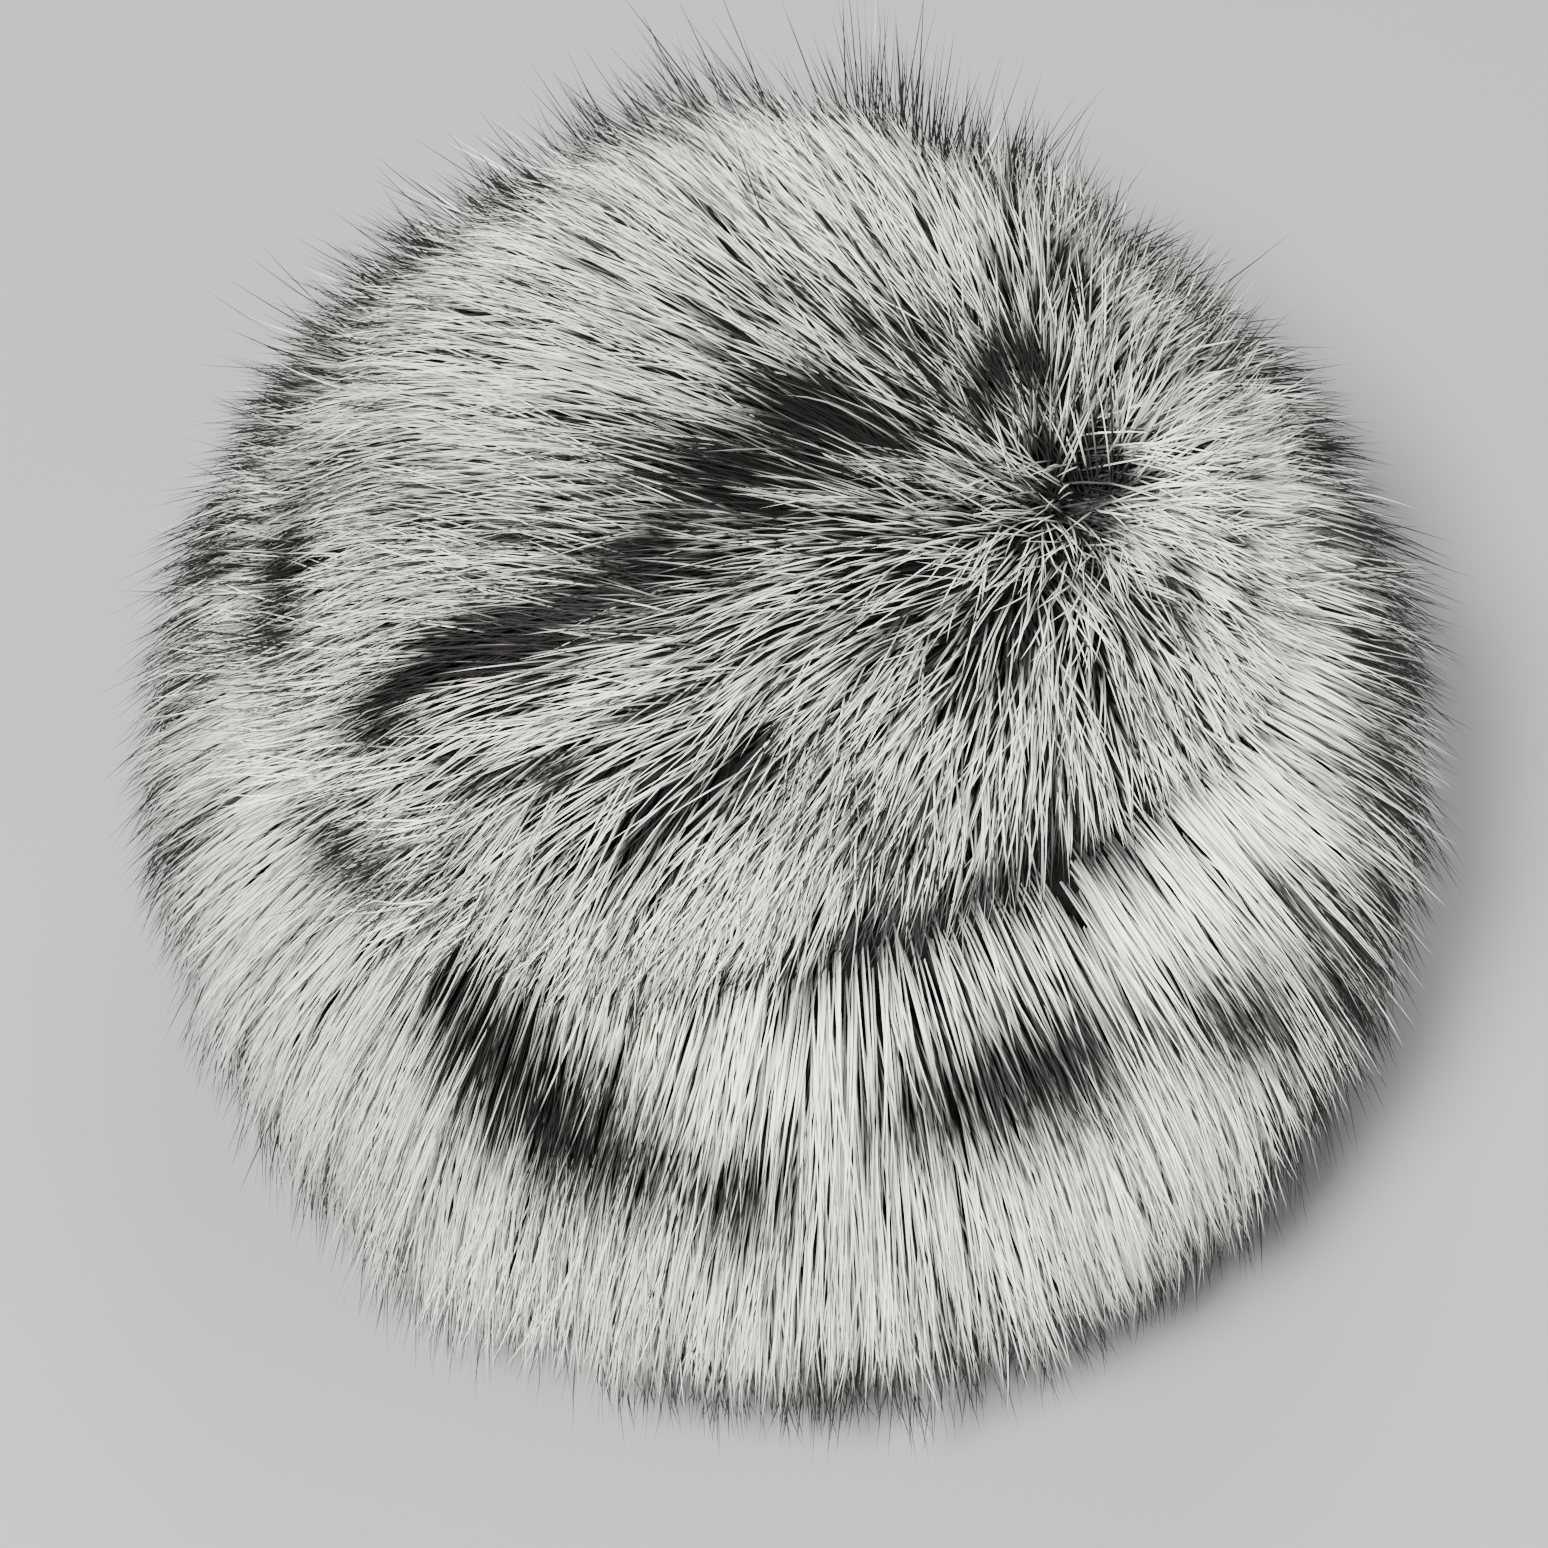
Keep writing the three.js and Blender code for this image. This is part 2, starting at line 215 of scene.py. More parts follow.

# Markings and painted shade as they show in the photograph's pixels: dark and pale strokes with half width
# and strength
DARK_STROKES = [
    # this and the next stroke but one: painted shade in the valley between two lays of crown hair
    {"half": 24, "depth": 1.15, "path": [
        (372, 722), (400, 682), (433, 655), (487, 634), (536, 622), (582, 600), (640, 546), (690, 500)]},
    {"half": 85, "depth": 0.68, "path": [(560, 580), (640, 520), (760, 440), (900, 390)]},
    {"half": 70, "depth": 0.42, "path": [(800, 480), (900, 500), (1010, 520), (1110, 540)]},
    # this and the next two: painted shade in the step where crown hair ends over band hair
    {"half": 24, "depth": 0.8, "path": [(290, 500), (280, 590), (265, 650)]},
    {"half": 34, "depth": 0.9, "path": [(330, 840), (352, 880)]},
    {"half": 26, "depth": 0.5, "path": [(425, 920), (440, 965)]},
    {"half": 62, "depth": 1.1, "path": [(470, 1020), (500, 1080), (550, 1135), (610, 1165)]},
    {"half": 56, "depth": 0.9, "path": [(610, 1165), (680, 1185), (735, 1200)]},
    # painted shadow under the front of the crown hair's hem
    {"half": 28, "depth": 0.6, "path": [(790, 985), (830, 1000)]},
    {"half": 60, "depth": 1.1, "path": [(950, 1115), (1010, 1095), (1070, 1070)]},
    {"half": 50, "depth": 0.8, "path": [(1070, 1070), (1160, 1040), (1270, 1015)]},
    # painted shadow along the step under the crown hair's hem
    {"half": 20, "depth": 1.0, "path": [
        (790, 995), (860, 965), (935, 925), (990, 892), (1060, 880), (1130, 866)]},
    {"half": 28, "depth": 0.9, "path": [(1290, 880), (1390, 905)]},
    {"half": 28, "depth": 0.55, "path": [(1330, 965), (1370, 950)]},
    # this and the next: dark hair tips with painted shade along the outline
    {"half": 58, "depth": 0.76, "path": [(1330, 420), (1390, 560), (1400, 700), (1390, 850), (1340, 1000)]},
    {"half": 34, "depth": 0.85, "path": [
        (200, 560), (235, 450), (290, 360), (360, 275), (450, 195), (560, 130)]},
    # dark hair tips with painted shade along the left outline
    {"half": 26, "depth": 0.6, "path": [(165, 600), (190, 700)]},
    {"half": 30, "depth": 0.7, "path": [(250, 1080), (275, 1140)]},
    {"half": 34, "depth": 0.7, "path": [(1180, 260), (1250, 310)]},
    # dark hair tips with painted shade along the top outline
    {"half": 34, "depth": 1.1, "path": [(560, 105), (680, 68), (790, 50), (900, 85), (960, 130)]},
    {"half": 30, "depth": 1.1, "path": [(985, 385), (1010, 340), (1040, 375)]},
    {"half": 18, "depth": 0.95, "path": [(1120, 450), (1110, 480)]},
    {"half": 22, "depth": 0.95, "path": [(1180, 580), (1195, 640)]},
    {"half": 11, "depth": 0.85, "path": [(600, 724), (690, 702)]},
    {"half": 17, "depth": 0.85, "path": [(470, 790), (560, 765)]},
    {"half": 12, "depth": 0.9, "path": [(715, 590), (750, 580)]},
    {"half": 70, "depth": 0.28, "path": [(860, 700), (960, 640), (1050, 700), (1120, 760)]},
    {"half": 60, "depth": 0.42, "path": [(780, 800), (880, 850), (960, 870), (1060, 810)]},
    {"half": 60, "depth": 0.25, "path": [(330, 430), (420, 520), (430, 590)]},
    # painted shadow under the band hair's lower edge, above the floor
    {"half": 26, "depth": 1.2, "path": [(640, 1392), (720, 1405), (800, 1410), (900, 1400)]},
]
PALE_STROKES = [
    {"half": 60, "depth": 0.7, "path": [(260, 960), (350, 1100), (440, 1220), (540, 1300), (640, 1310)]},
    {"half": 50, "depth": 0.3, "path": [(650, 220), (760, 200), (880, 220)]},
    {"half": 36, "depth": 0.4, "path": [(1210, 480), (1230, 600), (1200, 700)]},
    {"half": 50, "depth": 0.5, "path": [(950, 1230), (1080, 1220), (1150, 1150)]},
    {"half": 30, "depth": 0.4, "path": [(520, 960), (640, 985)]},
    {"half": 36, "depth": 0.4, "path": [(700, 1060), (800, 1070), (880, 1050)]},
]
# Dark hair tips with painted shade where the coat turns out of the photograph's view: the coat's widest
# height, strength, width
FRINGE = {"height": 62, "depth": 1.0, "turn": 0.46}
# Mottling between the markings, how softly hair goes from pale to dark, and how far it goes its own way
MOTTLE = {"size": 30, "depth": 0.14, "soft": 0.35, "alone": 0.65}
# Shares of a hair's length at which its markings and painted shade are read: the strand's upper rings and its
# tip
DARKENED_AT = {"mark_low": 0.43, "mark_mid": 0.63, "mark_high": 0.82, "mark_tip": 1.0}


class HairSettings(PropertyGroup):
    """Sizes of the coat."""

    crown_tufts: IntProperty(
        name="Crown tufts", description="Tufts of hair on the crown", default=1500, min=100)
    band_tufts: IntProperty(
        name="Band tufts", description="Tufts of hair on the side band", default=2020, min=100)
    hairs: IntProperty(
        name="Hairs in a tuft", description="Strands that make one tuft", default=9, min=1)
    width: FloatProperty(
        name="Strand width", description="Width of one strand at its widest",
        default=0.00047, unit="LENGTH", subtype="DISTANCE")
    crown_length: FloatProperty(
        name="Crown hair", description="Length of the longest crown hair above the underfur",
        default=0.043, unit="LENGTH", subtype="DISTANCE")
    whorl_length: FloatProperty(
        name="Whorl hair", description="Length of the hair at the whorl",
        default=0.022, unit="LENGTH", subtype="DISTANCE")
    band_length: FloatProperty(
        name="Band hair", description="Length of band hair above the underfur",
        default=0.052, unit="LENGTH", subtype="DISTANCE")


class ColourSettings(PropertyGroup):
    """Colours of hair and skin."""

    light: FloatVectorProperty(
        name="Light hair", description="Pale part of a hair",
        default=(0.70, 0.695, 0.615), size=3, subtype="COLOR", min=0, max=1)
    # The dark hair colour also carries painted shade: the shadow strokes, the outline and hair hidden under
    # the hem
    dark: FloatVectorProperty(
        name="Dark hair", description="Base, markings and tips of hair",
        default=(0.0088, 0.0076, 0.007), size=3, subtype="COLOR", min=0, max=1)
    # Underfur: dark wool, made near black as painted shade where it shows between hairs and under the hem
    under: FloatVectorProperty(
        name="Underfur", description="Dense short hair at the skin",
        default=(0.005, 0.0046, 0.0044), size=3, subtype="COLOR", min=0, max=1)
    suede: FloatVectorProperty(
        name="Suede", description="Bare side of the skins",
        default=(0.36, 0.29, 0.22), size=3, subtype="COLOR", min=0, max=1)
    floor: FloatVectorProperty(
        name="Floor", description="Surface that the hat stands on",
        default=(0.185, 0.185, 0.19), size=3, subtype="COLOR", min=0, max=1)


class StageSettings(PropertyGroup):
    """View of the photograph."""

    elevation: FloatProperty(
        name="Elevation", description="Camera's angle above the floor",
        default=math.radians(56), subtype="ANGLE")
    distance: FloatProperty(
        name="Distance", description="From the camera to the point it looks at",
        default=0.85, unit="LENGTH", subtype="DISTANCE")
    span: FloatProperty(
        name="Span", description="Width of the picture at that distance",
        default=0.348, unit="LENGTH", subtype="DISTANCE")
    aim: FloatVectorProperty(
        name="Aim", description="Point that the camera looks at",
        default=(-0.0052, -0.0058, 0.0598), size=3, subtype="TRANSLATION")


class Wire:
    """One socket of a node tree; arithmetic on it adds the nodes that work it out."""

    def __init__(self, tree, socket=None):
        self.tree = tree
        self.socket = socket

    def node(self, kind, settings=None, sockets=None, out=0):
        """Add a node of any type: its settings first, then the values or links of its sockets."""
        made = self.tree.nodes.new(kind)
        for name, value in (settings or {}).items():
            setattr(made, name, value)
        for key, value in (sockets or {}).items():
            if isinstance(value, Wire):
                self.tree.links.new(value.socket, made.inputs[key])
            else:
                made.inputs[key].default_value = value
        return Wire(self.tree, made.outputs[out])

    def feed(self, socket):
        self.tree.links.new(self.socket, socket)

    @staticmethod
    def is_vector(term):
        return isinstance(term, Wire) and term.socket.type == "VECTOR"

    def work(self, operation, first, second):
        vector = self.is_vector(first) or self.is_vector(second)
        terms = {}
        for index, term in enumerate((first, second)):
            terms[index] = (term,) * 3 if vector and not isinstance(term, Wire) else term
        kind = "ShaderNodeVectorMath" if vector else "ShaderNodeMath"
        return self.node(kind, {"operation": operation}, terms)

    def __add__(self, other):
        return self.work("ADD", self, other)

    __radd__ = __add__

    def __mul__(self, other):
        return self.work("MULTIPLY", self, other)

    __rmul__ = __mul__

    def __sub__(self, other):
        return self.work("SUBTRACT", self, other)

    def __rsub__(self, other):
        return self.work("SUBTRACT", other, self)

    def cross(self, other):
        return self.work("CROSS_PRODUCT", self, other)

    def unit(self):
        return self.node("ShaderNodeVectorMath", {"operation": "NORMALIZE"}, {0: self})

    def smooth(self, low, high):
        """0 below low, 1 above high and a soft step between them."""
        return self.node(
            "ShaderNodeMapRange", {"interpolation_type": "SMOOTHSTEP"},
            {"Value": self, "From Min": low, "From Max": high})

    def tint(self, first, second):
        """Colour between two colours, by this share."""
        return self.node(
            "ShaderNodeMix", {"data_type": "RGBA"},
            {"Factor": self, MIX_FIRST: (*first, 1), MIX_SECOND: (*second, 1)}, MIX_RESULT)


class Meridian:
    """A profile of the hat from the top down, read by the distance along it."""

    ROUNDS = 4
    CORNER_CUT = 0.25

    def __init__(self, rows):
        line = np.array(rows, float)
        for _ in range(self.ROUNDS):
            step = self.CORNER_CUT * np.diff(line, axis=0)
            early = line[:-1] + step
            late = line[1:] - step
            cut = np.stack([early, late], 1).reshape(-1, 2)
            line = np.vstack([line[:1], cut, line[-1:]])
        step = np.linalg.norm(np.diff(line, axis=0), axis=1)
        self.arc = np.concatenate([[0], np.cumsum(step)])
        self.line = line
        slope = np.gradient(line, self.arc, axis=0)
        self.slope = slope / np.linalg.norm(slope, axis=1, keepdims=True)

    def read(self, values, arc):
        return np.stack([np.interp(arc, self.arc, values[:, axis]) for axis in (0, 1)], 1)

    def profile(self, arc, lift):
        """Radius and height at these distances, lifted off the profile."""
        slope = self.read(self.slope, arc)
        past = np.clip(arc - self.arc[-1], 0, None)
        spot = self.read(self.line, arc) + slope * past[:, None]
        return spot[:, 0] - slope[:, 1] * lift, spot[:, 1] + slope[:, 0] * lift

    def place(self, arc, bearing, lift):
        """Points at these distances and bearings, lifted off the profile, in millimetres."""
        radius, height = self.profile(arc, lift)
        return on_oval(radius, bearing, height)


def on_oval(radius, bearing, height):
    """Points round the hat's axis, drawn out to the head's oval."""
    across = radius * np.cos(bearing) + AXIS[0]
    along = radius * np.sin(bearing) * OVAL + AXIS[1]
    return np.stack([across, along, height], -1)


def polar(flat):
    return np.linalg.norm(flat, axis=1), np.arctan2(flat[:, 1], flat[:, 0])


def swing(angle, start):
    """Angle from a start in degrees, between half a turn back and half a turn on."""
    return np.angle(np.exp(1j * (angle - math.radians(start))))


def drift(points, size, draw):
    """Smooth waves between about -1 and 1 over flat points, this many millimetres long."""
    total = np.zeros(len(points))
    for _ in range(DRIFT["waves"]):
        turn, phase = draw.uniform(0, TAU, 2)
        pitch = size * draw.uniform(DRIFT["shortest"], DRIFT["longest"])
        across = points[:, 0] * math.cos(turn) + points[:, 1] * math.sin(turn)
        total += np.sin(TAU * across / pitch + phase)
    return total / math.sqrt(DRIFT["waves"])


def view_axes(stage):
    """Camera place, and its directions ahead and up, in millimetres."""
    rise = stage.elevation
    ahead = np.array((0, math.cos(rise), -math.sin(rise)))
    up = np.array((0, math.sin(rise), math.cos(rise)))
    place = np.array(stage.aim) / MM - ahead * stage.distance / MM
    return place, ahead, up


def photo_pixels(points, stage):
    """Where points in millimetres show in the photograph."""
    place, ahead, up = view_axes(stage)
    seen = points - place
    scale = PHOTO_SIZE * (stage.distance / stage.span) / (seen @ ahead)
    across = PHOTO_SIZE / 2 + scale * seen[:, 0]
    down = PHOTO_SIZE / 2 - scale * (seen @ up)
    return np.stack([across, down], 1)


def stroke_depth(pixels, stroke):
    """A stroke's strength at each pixel, which fades across its half width."""
    best = np.full(len(pixels), np.inf)
    corners = np.array(stroke["path"], float)
    for start, end in zip(corners[:-1], corners[1:]):
        run = end - start
        share = np.clip((pixels - start) @ run / (run @ run), 0, 1)
        gap = np.linalg.norm(pixels - start - share[:, None] * run, axis=1)
        best = np.minimum(best, gap)
    return stroke["depth"] * np.exp(-0.5 * (best / stroke["half"]) ** 2)


def facing(points, stage):
    """How far the coat faces away from the camera at each point: 0 at its edge, 1 at the back."""
    core = np.array((MIDDLE[0], MIDDLE[1], FRINGE["height"]))
    half = np.array((HALF_SIZE[0], HALF_SIZE[1], BOX_HIGH[2] - FRINGE["height"]))
    outward = (points - core) / half ** 2
    return outward @ view_axes(stage)[1] / np.linalg.norm(outward, axis=1)


def markings_and_shade(points, stage):
    """How dark the coat's markings and painted shade make it at each point; the far side repeats the near
    side turned round.
    """
    away = facing(points, stage)
    turned = points.copy()
    turned[away > 0, :2] = 2 * MIDDLE[:2] - turned[away > 0, :2]
    pixels = photo_pixels(turned, stage)
    # dark hair tips with painted shade where the coat turns out of view at its outline
    darkening = FRINGE["depth"] * np.exp(-(away / FRINGE["turn"]) ** 2)
    for stroke in DARK_STROKES:
        darkening = np.maximum(darkening, stroke_depth(pixels, stroke))
    for stroke in PALE_STROKES:
        darkening -= stroke_depth(pixels, stroke)
    return darkening


def parted(heading, away, waver):
    """How far partings turn the hair aside; waver bends their line."""
    aside = np.zeros(len(heading))
    for parting in PARTINGS:
        off = swing(heading + waver, parting["heading"])
        begun = np.clip((away - parting["start"]) / PARTING_FADE, 0, 1)
        ending = np.clip((parting["end"] - away) / PARTING_FADE, 0, 1)
        near = np.exp(-(off / math.radians(parting["spread"])) ** 2)
        aside += np.where(off >= 0, 1, -1) * math.radians(parting["turn"]) * near * begun * ending
    return aside


def hair_kinds(total, draw):
    """Columns of HAIR_KINDS for each hair, drawn by the kinds' shares."""
    shares = [kind["share"] for kind in HAIR_KINDS]
    pick = draw.choice(len(HAIR_KINDS), total, p=shares)
    return {key: np.array([kind[key] for kind in HAIR_KINDS])[pick] for key in HAIR_KINDS[0]}


class Coat:
    """Hairs of a coat in millimetres: root, knee and tip of each, its tuft's number and its kind."""

    def __init__(self, tufts, hairs, place, sizes, draw):
        spots, heading, length, stand, pale_from = tufts
        self.tuft = np.repeat(np.arange(len(spots)), hairs)
        total = len(self.tuft)
        self.kind = hair_kinds(total, draw)
        self.pale_from = pale_from[self.tuft]
        spread = draw.normal(0, sizes["spread"], (total, 2))
        stray = draw.normal(0, sizes["stray"], (total, 2))
        curl = draw.normal(0, sizes["curl"], (total, 2))
        turn = heading[self.tuft] + draw.normal(0, math.radians(sizes["fray"]), total)
        way = np.stack([np.cos(turn), np.sin(turn)], 1)
        long = length[self.tuft] * self.kind["length"] * (1 + draw.normal(0, LENGTH_VARY, total))
        run = way * long[:, None]
        lift = stand[self.tuft] + self.kind["stand"]
        sink = np.minimum(sizes["sink"], SINK_SHARE * long)
        root = spots[self.tuft] + spread
        tip = spots[self.tuft] + run + spread * sizes["gather"] + stray
        knee_lift = sizes["knee_lift"] * lift + draw.normal(0, KNEE_VARY, total)
        tip_lift = lift + draw.normal(0, TIP_LIFT_VARY, total)
        knee = root + run * KNEE + curl
        self.points = [place(root, -sink), place(knee, knee_lift), place(tip, tip_lift)]

    def at(self, share):
        """Points at a share of every hair's length."""
        root, knee, tip = self.points
        rest = 1 - share
        return rest * rest * root + 2 * share * rest * knee + share * share * tip


def hem_at(bearing):
    """How far crown hair reaches at these bearings."""
    return np.interp(np.degrees(bearing), *zip(*CROWN_HEM))


def crown_coat(hair, draw):
    """Crown hair, which runs away from the whorl on the crown laid out flat."""
    sizes = CROWN_COAT
    number = np.arange(hair.crown_tufts)
    bearing = swing(number * GOLDEN_TURN, 0)
    edge = np.minimum(sizes["edge"], hem_at(bearing) - sizes["shortest"] + sizes["hidden_width"])
    arc = edge * np.sqrt((number + 0.5) / hair.crown_tufts)
    spots = arc[:, None] * np.stack([np.cos(bearing), np.sin(bearing)], 1)
    spots += draw.normal(0, sizes["jitter"], spots.shape)
    spots = np.vstack([spots, WHORL + draw.normal(0, TANGLE["scatter"], (TANGLE["tufts"], 2))])
    count = len(spots)

    away, heading = polar(spots - WHORL)
    tangle = np.exp(-(away / TANGLE["radius"]) ** 2)
    waver = math.radians(sizes["waver"]) * drift(spots, sizes["waver_size"], draw)
    heading = heading + parted(heading, away, waver)
    heading += math.radians(sizes["wave"]) * drift(spots, sizes["wave_size"], draw)
    heading += draw.normal(0, 1, count) * np.radians(sizes["turn_vary"] + TANGLE["turn"] * tangle)

    arc, bearing = polar(spots)
    back = np.clip(np.sin(bearing), 0, 1) * np.clip(arc / sizes["edge"], 0, 1)
    peak = np.exp(-(swing(bearing, PEAK["bearing"]) / math.radians(PEAK["width"])) ** 2) * back
    shortest, longest = hair.whorl_length / MM, hair.crown_length / MM
    length = shortest + (longest - shortest) * np.clip(away / TANGLE["reach"], 0, 1)
    length *= 1 + draw.normal(0, sizes["length_vary"], count) + PEAK["length"] * peak
    hem = hem_at(bearing)
    hidden = np.where(arc > hem - sizes["shortest"], 1, 0)
    hem += draw.normal(0, sizes["hem_vary"], count)
    straight = np.clip(np.cos(heading - bearing), sizes["least_straight"], 1)
    length = np.minimum(length, np.maximum((hem - arc) / straight, sizes["shortest"]))
    stand = sizes["stand"] + sizes["back_stand"] * back + TANGLE["stand"] * tangle + PEAK["stand"] * peak
    stand += draw.normal(0, sizes["stand_vary"], count) - sizes["hidden_drop"] * hidden
    # hidden hair never turns pale: painted shade under the hem
    pale_from = sizes["pale_from"] + hidden

    line = Meridian(CROWN_LAY)
    return Coat(
        (spots, heading, length, stand, pale_from), hair.hairs,
        lambda flat, lift: line.place(*polar(flat), lift), sizes, draw)


def band_coat(hair, draw):
    """Band hair, which hangs down on the band laid out flat: distance down, distance round."""
    sizes = BAND_COAT
    line = Meridian(BAND_LAY)
    count = hair.band_tufts
    number = np.arange(count)
    share = ((number + 0.5) / count) ** sizes["crowd"]
    down = sizes["top"] + (line.arc[-1] - sizes["foot"]) * share
    bearing = number * GOLDEN_TURN % TAU
    spots = np.stack([down, bearing * BAND_GIRTH], 1) + draw.normal(0, sizes["jitter"], (count, 2))
    heading = math.radians(sizes["wave"]) * drift(spots, sizes["wave_size"], draw)
    heading += draw.normal(0, math.radians(sizes["turn_vary"]), count)
    length = hair.band_length / MM * (1 + draw.normal(0, sizes["length_vary"], count))
    stand = sizes["stand"] + (sizes["foot_stand"] - sizes["stand"]) * share
    stand += draw.normal(0, sizes["stand_vary"], count)
    for place in (BAND_JOIN, BAND_NOTCH):
        off = swing(bearing, place["bearing"]) / math.radians(place["width"])
        near = np.exp(-off ** 2)
        length *= 1 + place["length"] * near
        stand += place["stand"] * near
        heading += np.sign(off) * math.radians(place["turn"]) * near

    def on_band(flat, lift):
        return line.place(np.clip(flat[:, 0], 0, None), flat[:, 1] / BAND_GIRTH, lift)

    pale_from = np.full(count, sizes["pale_from"])
    coat = Coat((spots, heading, length, stand, pale_from), hair.hairs, on_band, sizes, draw)
    for points in coat.points:
        low = np.clip(FLOOR_BEND["from"] - points[:, 2], 0, None)
        bent = np.maximum(FLOOR_BEND["from"] - FLOOR_BEND["keep"] * low, FLOOR_BEND["least"])
        points[:, 2] = np.where(low > 0, bent, points[:, 2])
    return coat


def coat_values(coat, stage, draw):
    """Markings with painted shade, shade, tip and thickness of every hair; hairs of a tuft go dark together.
    """
    kind = coat.kind
    total = len(coat.tuft)
    tufts = coat.tuft.max() + 1
    mottle = MOTTLE["depth"] * drift(coat.points[1][:, :2], MOTTLE["size"], draw)
    alone = MOTTLE["alone"]
    bar = (1 - alone) * draw.uniform(0, 1, tufts)[coat.tuft] + alone * draw.uniform(0, 1, total)
    shade = 1 + draw.normal(0, SHADE_VARY, tufts)[coat.tuft] + draw.normal(0, SHADE_VARY, total)
    values = {
        "shade": np.clip(kind["shade"] * shade, SHADE_LEAST, 1),
        "pale_from": coat.pale_from + draw.normal(0, PALE_VARY, total),
        "tip_dark": kind["tip_dark"],
        "tip_start": kind["tip_start"] + draw.normal(0, TIP_VARY, total),
        "thick": kind["thick"] * (1 + draw.normal(0, THICK_VARY, total)),
    }
    for name, share in DARKENED_AT.items():
        darkening = markings_and_shade(coat.at(share), stage) + mottle - bar
        values[name] = np.clip(darkening / MOTTLE["soft"] + 0.5, 0, 1)
    return values


def add_object(name, data):
    made = bpy.data.objects.new(name, data)
    bpy.context.scene.collection.objects.link(made)
    return made


def put(mesh, name, kind, values, domain="POINT"):
    layer = mesh.attributes.new(name, kind, domain)
    key = "value" if kind == "FLOAT" else "vector"
    layer.data.foreach_set(key, np.ascontiguousarray(values, dtype=np.float32).ravel())


def strand_template():
    """A closed strand of a few rings and a point, with a place on the sheet for each corner."""
    sides, last = STRAND_SIDES, len(STRAND_RINGS) - 1
    along, around = [], []
    for share, width in STRAND_RINGS:
        for side in range(sides):
            angle = TAU * side / sides
            along.append(share)
            around.append((width * math.cos(angle), width * math.sin(angle), 0))
    tip = len(along)
    along.append(1)
    around.append((0, 0, 0))
    faces = [tuple(reversed(range(sides)))]
    sheet = [(side / sides, 0, 0) for side in range(sides)]
    for ring, (low, _) in enumerate(STRAND_RINGS):
        for side in range(sides):
            a, b = ring * sides + side, ring * sides + (side + 1) % sides
            left, right = side / sides, (side + 1) / sides
            sheet += [(left, low, 0), (right, low, 0)]
            if ring == last:
                faces.append((a, b, tip))
                sheet.append(((left + right) / 2, 1, 0))
            else:
                high = STRAND_RINGS[ring + 1][0]
                faces.append((a, b, b + sides, a + sides))
                sheet += [(right, high, 0), (left, high, 0)]
    mesh = bpy.data.meshes.new("strand")
    mesh.from_pydata([(0, 0, share) for share in along], [], faces)
    put(mesh, "along", "FLOAT", along)
    put(mesh, "around", "FLOAT_VECTOR", around)
    put(mesh, "cell_place", "FLOAT_VECTOR", sheet, "CORNER")
    return add_object("strand", mesh)


def hair_tree():
    """Nodes that grow a strand on every root, bent through its knee to its tip.

    Hair is dark at the root, pale along its length where no marking or painted shade lies, and dark at the
    tip.
    """
    tree = bpy.data.node_groups.new("Grow hair", "GeometryNodeTree")
    inputs = {
        "Roots": "NodeSocketGeometry", "Strand": "NodeSocketObject", "Width": "NodeSocketFloat",
        "Cell": "NodeSocketFloat", "Coat": "NodeSocketMaterial",
    }
    for name, kind in inputs.items():
        tree.interface.new_socket(name, in_out="INPUT", socket_type=kind)
    tree.interface.new_socket("Hair", in_out="OUTPUT", socket_type="NodeSocketGeometry")
    new = Wire(tree).node
    given = tree.nodes.new("NodeGroupInput").outputs
    roots, strand, width, cell, coat = (Wire(tree, given[name]) for name in inputs)

    def kept(name, kind="FLOAT_VECTOR"):
        return new("GeometryNodeInputNamedAttribute", {"data_type": kind}, {"Name": name})

    shape = new("GeometryNodeObjectInfo", None, {"Object": strand}, "Geometry")
    sown = new("GeometryNodeInstanceOnPoints", None, {"Points": roots, "Instance": shape})
    grown = new("GeometryNodeRealizeInstances", None, {"Geometry": sown})
    root, knee, tip, over, around = (kept(name) for name in ("root", "knee", "tip", "over", "around"))
    along = kept("along", "FLOAT")
    half_width = width * kept("thick", "FLOAT") * 0.5
    rest = 1 - along
    middle = root * (rest * rest) + knee * (2 * along * rest) + tip * (along * along)
    ahead = (knee - root) * rest + (tip - knee) * along
    side = ahead.cross(over).unit()
    top = side.cross(ahead).unit()
    across = new("ShaderNodeSeparateXYZ", None, {0: around}, "X")
    upward = new("ShaderNodeSeparateXYZ", None, {0: around}, "Y")
    place = middle + side * across * half_width + top * upward * half_width
    bent = new("GeometryNodeSetPosition", None, {"Geometry": grown, "Position": place})
    sheet = kept("cell_corner") + kept("cell_place") * cell
    mapped = new(
        "GeometryNodeStoreNamedAttribute", {"data_type": "FLOAT2", "domain": "CORNER"},
        {"Geometry": bent, "Name": "OFBake", "Value": sheet})
    shares = list(DARKENED_AT.values())
    dark_shares = [kept(key, "FLOAT") for key in DARKENED_AT]
    darkened = dark_shares[0]
    for index in range(1, len(dark_shares)):
        darkened += (dark_shares[index] - dark_shares[index - 1]) * along.smooth(shares[index - 1], shares[index])
    rooted = (along - kept("pale_from", "FLOAT")).smooth(0.0, ROOT_FADE)
    tipped = (along - kept("tip_start", "FLOAT")).smooth(0.0, TIP_FADE) * kept("tip_dark", "FLOAT")
    pale = rooted * (1 - tipped) * (1 - darkened) * kept("shade", "FLOAT")
    shaded = new(
        "GeometryNodeStoreNamedAttribute", {"data_type": "FLOAT", "domain": "POINT"},
        {"Geometry": mapped, "Name": "pale", "Value": pale})
    coated = new("GeometryNodeSetMaterial", None, {"Geometry": shaded, "Material": coat})
    coated.feed(tree.nodes.new("NodeGroupOutput").inputs[0])
    return tree


